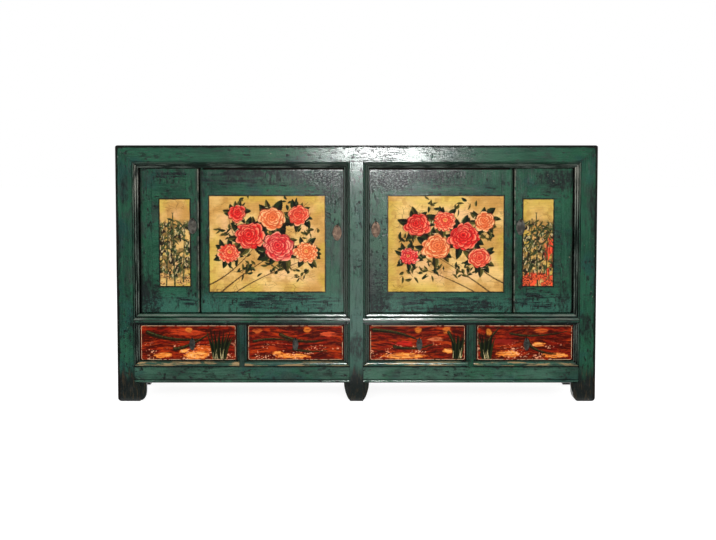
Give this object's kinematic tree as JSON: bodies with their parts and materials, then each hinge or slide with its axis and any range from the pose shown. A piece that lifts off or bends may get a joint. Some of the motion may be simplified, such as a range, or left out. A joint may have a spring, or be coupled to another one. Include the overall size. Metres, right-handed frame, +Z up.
{
  "type": "painted sideboard",
  "caption": "Low painted cupboard with pivoting panelled doors above a row of drawers, framed by reeded posts and rails.",
  "frame": {"origin": "centre of the footprint, on the floor", "axes": "+X to the viewer's right along the front, +Y from the front to the back, +Z up"},
  "size_m": [1.6, 0.424, 0.855],
  "materials": {
    "teal_paint": "worn glossy teal lacquer with dark edges",
    "picture_paint": "varnished gold ground with painted flowers",
    "drawer_paint": "varnished red and orange paint with worn edges",
    "inner_wood": "bare aged softwood",
    "iron": "dark worn iron",
    "copper_alloy": "tarnished copper-coloured alloy"
  },
  "bodies": {
    "carcass": {"post_front_left": "teal_paint", "post_front_centre": "teal_paint", "post_front_right": "teal_paint", "back_posts": "teal_paint", "top_rail_front": "teal_paint", "top_rail_back": "teal_paint", "top_rail_left": "teal_paint", "top_rail_right": "teal_paint", "top_board": "teal_paint", "top_battens": "inner_wood", "mid_rail_left": "teal_paint", "mid_rail_right": "teal_paint", "bottom_rail_left": "teal_paint", "bottom_rail_right": "teal_paint", "drawer_muntins": "teal_paint", "side_board_left": "teal_paint", "side_board_right": "teal_paint", "side_rails": "teal_paint", "back_boards": "inner_wood", "back_rails": "inner_wood", "cupboard_floor": "inner_wood", "drawer_runners": "inner_wood", "foot_brackets": "teal_paint", "door_stops": "inner_wood"},
    "door_left_narrow": {"door_left_narrow_frame": "teal_paint", "door_left_narrow_panel": "teal_paint", "door_left_narrow_picture": "picture_paint", "door_left_narrow_ring": "iron"},
    "door_left_narrow_pull": {"door_left_narrow_pull": "iron"},
    "door_left_wide": {"door_left_wide_frame": "teal_paint", "door_left_wide_panel": "teal_paint", "door_left_wide_picture": "picture_paint", "door_left_wide_ring": "iron"},
    "door_left_wide_pull": {"door_left_wide_pull": "copper_alloy"},
    "door_right_wide": {"door_right_wide_frame": "teal_paint", "door_right_wide_panel": "teal_paint", "door_right_wide_picture": "picture_paint", "door_right_wide_ring": "iron"},
    "door_right_wide_pull": {"door_right_wide_pull": "copper_alloy"},
    "door_right_narrow": {"door_right_narrow_frame": "teal_paint", "door_right_narrow_panel": "teal_paint", "door_right_narrow_picture": "picture_paint", "door_right_narrow_ring": "iron"},
    "door_right_narrow_pull": {"door_right_narrow_pull": "iron"},
    "drawer_1": {"drawer_1_front": "drawer_paint", "drawer_1_box": "inner_wood", "drawer_1_ring": "iron"},
    "drawer_1_pull": {"drawer_1_pull": "iron"},
    "drawer_2": {"drawer_2_front": "drawer_paint", "drawer_2_box": "inner_wood", "drawer_2_ring": "iron"},
    "drawer_2_pull": {"drawer_2_pull": "iron"},
    "drawer_3": {"drawer_3_front": "drawer_paint", "drawer_3_box": "inner_wood", "drawer_3_ring": "iron"},
    "drawer_3_pull": {"drawer_3_pull": "iron"},
    "drawer_4": {"drawer_4_front": "drawer_paint", "drawer_4_box": "inner_wood", "drawer_4_ring": "iron"},
    "drawer_4_pull": {"drawer_4_pull": "iron"}
  },
  "joints": [
    {"name": "door_left_narrow_hinge", "type": "hinge", "parent": "carcass", "child": "door_left_narrow", "pos_m": [-0.7135, -0.188, 0.5375], "axis": [0, 0, -1], "range_deg": [0, 90]},
    {"name": "door_left_narrow_pull_hinge", "type": "hinge", "parent": "door_left_narrow", "child": "door_left_narrow_pull", "pos_m": [-0.5465, -0.2028, 0.6105], "axis": [-1, 0, 0], "range_deg": [0, 80]},
    {"name": "door_left_wide_hinge", "type": "hinge", "parent": "carcass", "child": "door_left_wide", "pos_m": [-0.514, -0.188, 0.5375], "axis": [0, 0, -1], "range_deg": [0, 90]},
    {"name": "door_left_wide_pull_hinge", "type": "hinge", "parent": "door_left_wide", "child": "door_left_wide_pull", "pos_m": [-0.0645, -0.2028, 0.5885], "axis": [-1, 0, 0], "range_deg": [0, 80]},
    {"name": "door_right_wide_hinge", "type": "hinge", "parent": "carcass", "child": "door_right_wide", "pos_m": [0.514, -0.188, 0.5375], "axis": [0, 0, 1], "range_deg": [0, 90]},
    {"name": "door_right_wide_pull_hinge", "type": "hinge", "parent": "door_right_wide", "child": "door_right_wide_pull", "pos_m": [0.0645, -0.2028, 0.5995], "axis": [-1, 0, 0], "range_deg": [0, 80]},
    {"name": "door_right_narrow_hinge", "type": "hinge", "parent": "carcass", "child": "door_right_narrow", "pos_m": [0.7135, -0.188, 0.5375], "axis": [0, 0, 1], "range_deg": [0, 90]},
    {"name": "door_right_narrow_pull_hinge", "type": "hinge", "parent": "door_right_narrow", "child": "door_right_narrow_pull", "pos_m": [0.5465, -0.2028, 0.6065], "axis": [-1, 0, 0], "range_deg": [0, 80]},
    {"name": "drawer_1_slide", "type": "slide", "parent": "carcass", "child": "drawer_1", "axis": [0, -1, 0], "range_m": [0, 0.26]},
    {"name": "drawer_1_pull_hinge", "type": "hinge", "parent": "drawer_1", "child": "drawer_1_pull", "pos_m": [-0.54975, -0.2088, 0.2105], "axis": [-1, 0, 0], "range_deg": [0, 80]},
    {"name": "drawer_2_slide", "type": "slide", "parent": "carcass", "child": "drawer_2", "axis": [0, -1, 0], "range_m": [0, 0.26]},
    {"name": "drawer_2_pull_hinge", "type": "hinge", "parent": "drawer_2", "child": "drawer_2_pull", "pos_m": [-0.20425, -0.2088, 0.2105], "axis": [-1, 0, 0], "range_deg": [0, 80]},
    {"name": "drawer_3_slide", "type": "slide", "parent": "carcass", "child": "drawer_3", "axis": [0, -1, 0], "range_m": [0, 0.26]},
    {"name": "drawer_3_pull_hinge", "type": "hinge", "parent": "drawer_3", "child": "drawer_3_pull", "pos_m": [0.21025, -0.2088, 0.2105], "axis": [-1, 0, 0], "range_deg": [0, 80]},
    {"name": "drawer_4_slide", "type": "slide", "parent": "carcass", "child": "drawer_4", "axis": [0, -1, 0], "range_m": [0, 0.26]},
    {"name": "drawer_4_pull_hinge", "type": "hinge", "parent": "drawer_4", "child": "drawer_4_pull", "pos_m": [0.56875, -0.2088, 0.2105], "axis": [-1, 0, 0], "range_deg": [0, 80]}
  ]
}
